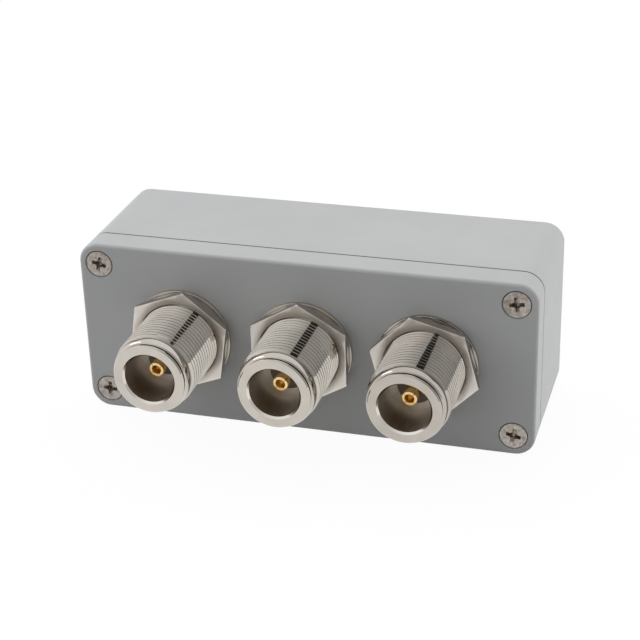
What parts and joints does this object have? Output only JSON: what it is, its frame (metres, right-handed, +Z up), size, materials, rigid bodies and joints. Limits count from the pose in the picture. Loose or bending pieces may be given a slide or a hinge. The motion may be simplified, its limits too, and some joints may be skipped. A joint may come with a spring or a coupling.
{
  "type": "coaxial diplexer",
  "caption": "Radio-frequency diplexer in a small painted die-cast box, with threaded coaxial jacks in a row on its screwed lid.",
  "frame": {"origin": "centre of the box's underside, the long narrow side that it stands on", "axes": "+X along the box, +Y from the lid into the box, +Z up; the jacks point along -Y"},
  "size_m": [0.0918, 0.0499, 0.0363],
  "materials": {
    "case_paint": "die-cast aluminium, painted satin grey",
    "jack_nickel": "turned brass, nickel plated",
    "contact_gold": "gold plated",
    "insulator_plastic": "turned dark plastic",
    "seal_rubber": "matt",
    "screw_steel": "zinc plated",
    "board_laminate": "glass laminate with green resist",
    "coil_copper": "bright copper wire",
    "disc_ceramic": "lacquered disc"
  },
  "bodies": {
    "root": {"case_body": "case_paint", "lid": "case_paint", "lid_gasket": "seal_rubber", "lid_screws": "screw_steel", "left_jack_shell": "jack_nickel", "middle_jack_shell": "jack_nickel", "right_jack_shell": "jack_nickel", "left_insulator": "insulator_plastic", "middle_insulator": "insulator_plastic", "right_insulator": "insulator_plastic", "left_contact": "contact_gold", "middle_contact": "contact_gold", "right_contact": "contact_gold", "left_jack_seal": "seal_rubber", "middle_jack_seal": "seal_rubber", "right_jack_seal": "seal_rubber", "jack_washers": "jack_nickel", "jack_nuts": "jack_nickel", "filter_board": "board_laminate", "low_coil_inner": "coil_copper", "low_coil_outer": "coil_copper", "high_coil_inner": "coil_copper", "high_coil_outer": "coil_copper", "low_capacitor_inner": "disc_ceramic", "low_capacitor_middle": "disc_ceramic", "low_capacitor_outer": "disc_ceramic", "high_capacitor_inner": "disc_ceramic", "high_capacitor_middle": "disc_ceramic", "high_capacitor_outer": "disc_ceramic"}
  },
  "joints": []
}
